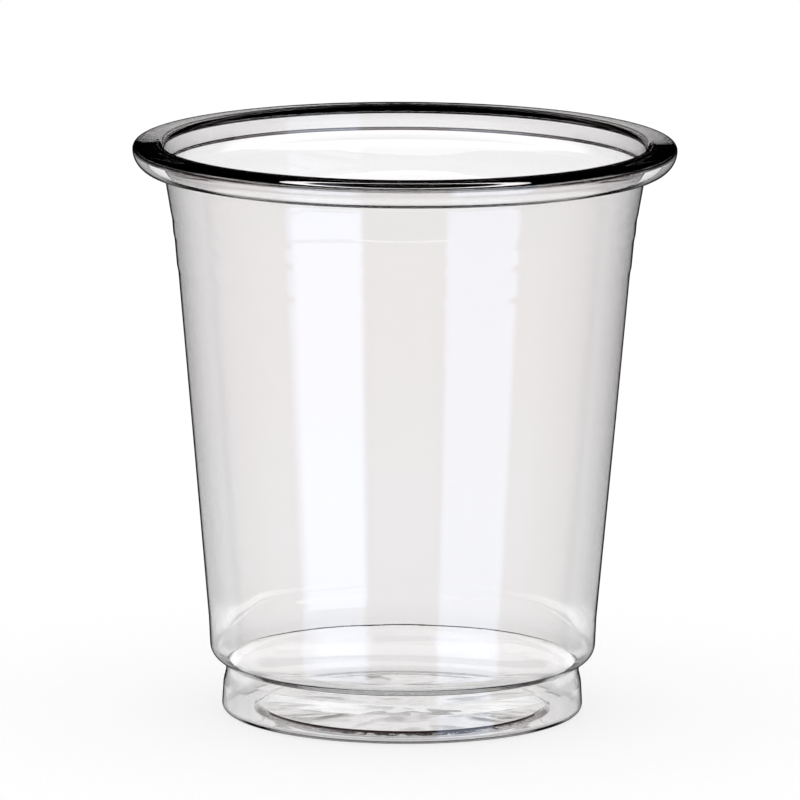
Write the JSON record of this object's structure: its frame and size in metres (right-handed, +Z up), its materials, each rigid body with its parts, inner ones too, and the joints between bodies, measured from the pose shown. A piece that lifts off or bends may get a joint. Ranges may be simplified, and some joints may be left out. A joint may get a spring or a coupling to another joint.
{
  "type": "plastic disposable cup",
  "caption": "Clear tapered disposable cup with a rolled lip, a rounded shoulder, a narrow waist and a short foot with a raised base panel.",
  "frame": {"origin": "centre of the foot, on the plane that the cup stands on", "axes": "+Z up along the cup's axis, through the mouth; X and Y are equivalent"},
  "size_m": [0.078, 0.078, 0.0829],
  "materials": {
    "clear_plastic": "clear, glossy and colourless, with faint forming marks"
  },
  "bodies": {
    "root": {"cup": "clear_plastic"}
  },
  "joints": []
}
